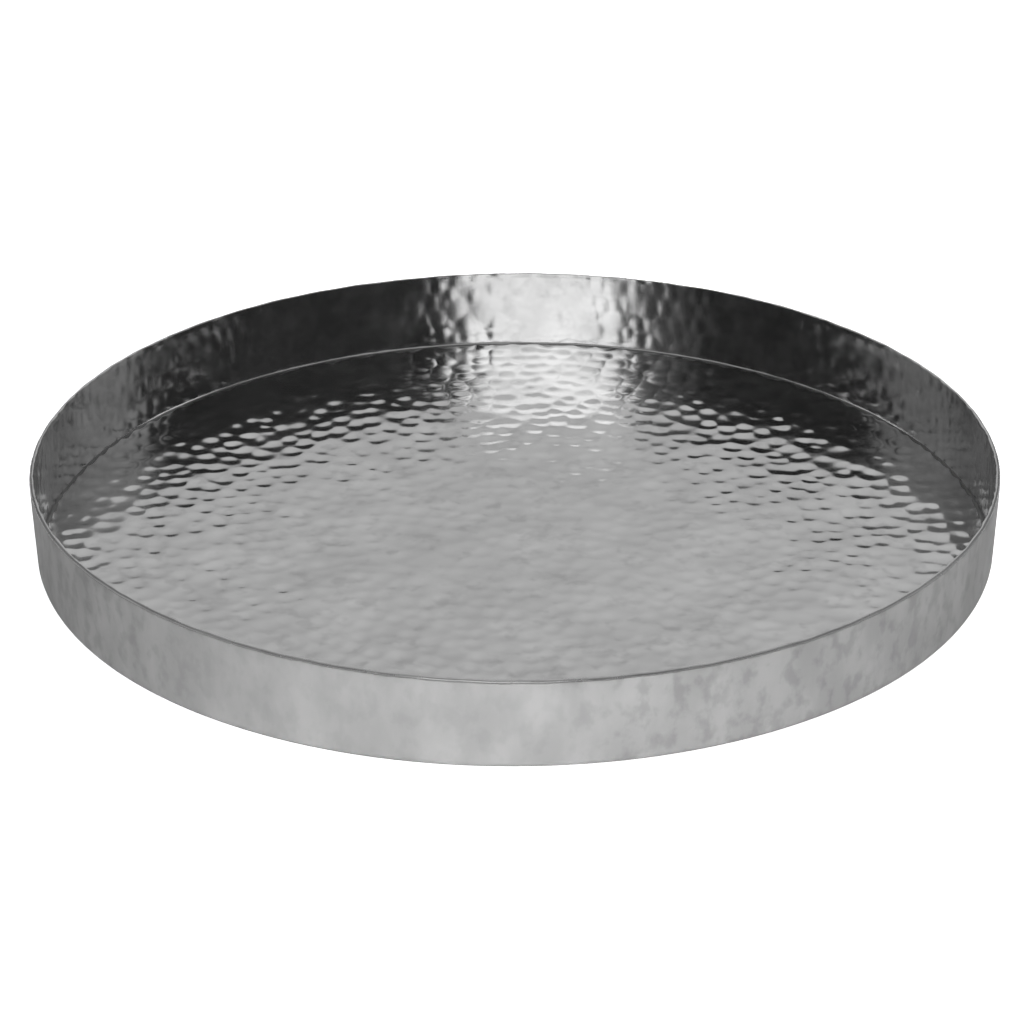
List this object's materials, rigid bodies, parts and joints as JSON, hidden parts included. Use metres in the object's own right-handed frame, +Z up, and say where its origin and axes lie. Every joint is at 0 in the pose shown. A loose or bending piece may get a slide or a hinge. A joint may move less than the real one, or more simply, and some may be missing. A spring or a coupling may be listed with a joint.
{
  "type": "serving tray",
  "caption": "Round straight-walled serving tray in hammered sheet metal, with a polished inside, a satin outside and a rounded rim, standing on a turned-in lip.",
  "frame": {"origin": "centre of the tray in the plane that it stands on", "axes": "+Z up along the tray's axis, +X to the right and +Y away from the viewer in the picture's view"},
  "size_m": [0.4, 0.4, 0.038],
  "materials": {
    "wall_metal": "hammered and polished inside, satin outside",
    "floor_metal": "hammered and polished",
    "weld_metal": "dressed and polished"
  },
  "bodies": {
    "root": {"wall_band": "wall_metal", "floor_disc": "floor_metal", "corner_weld": "weld_metal", "seam_weld": "weld_metal"}
  },
  "joints": []
}
